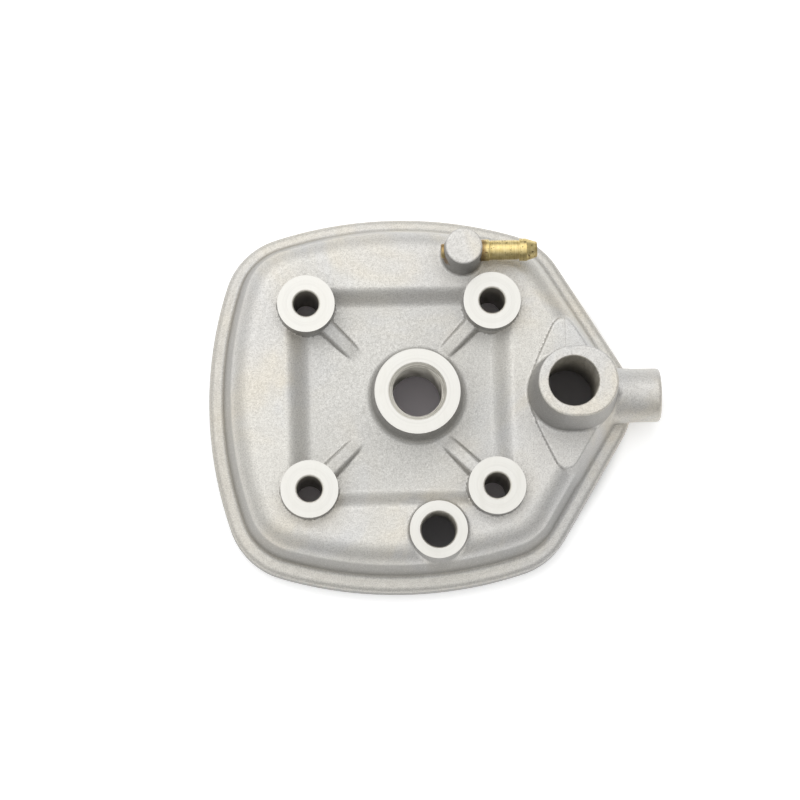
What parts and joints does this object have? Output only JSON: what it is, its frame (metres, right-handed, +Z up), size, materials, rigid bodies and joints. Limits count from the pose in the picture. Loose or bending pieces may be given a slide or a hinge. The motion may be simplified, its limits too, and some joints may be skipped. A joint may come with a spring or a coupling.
{
  "type": "cylinder head",
  "caption": "Die-cast water-cooled two-stroke cylinder head with stud bosses, plug and sensor bosses, coolant outlet, hose stub and brass bleed nipple.",
  "frame": {"origin": "middle of the four-stud pattern on the gasket face", "axes": "+X towards the hose stub, +Z up out of the stud holes towards the spark plug seat, +Y towards the bleed boss"},
  "size_m": [0.1176, 0.0988, 0.0365],
  "materials": {
    "cast_aluminium": "fine matt die-cast skin, bright machined boss faces",
    "brass": "turned, with small pits and brown residue at the press fit",
    "seal_rubber": "smooth black nitrile"
  },
  "bodies": {
    "root": {"head_casting": "cast_aluminium", "bleed_nipple": "brass", "bleed_bore_plug": "brass", "chamber_o_ring": "seal_rubber", "jacket_o_ring": "seal_rubber", "stud_o_ring_1": "seal_rubber", "stud_o_ring_2": "seal_rubber", "stud_o_ring_3": "seal_rubber", "stud_o_ring_4": "seal_rubber"}
  },
  "joints": []
}
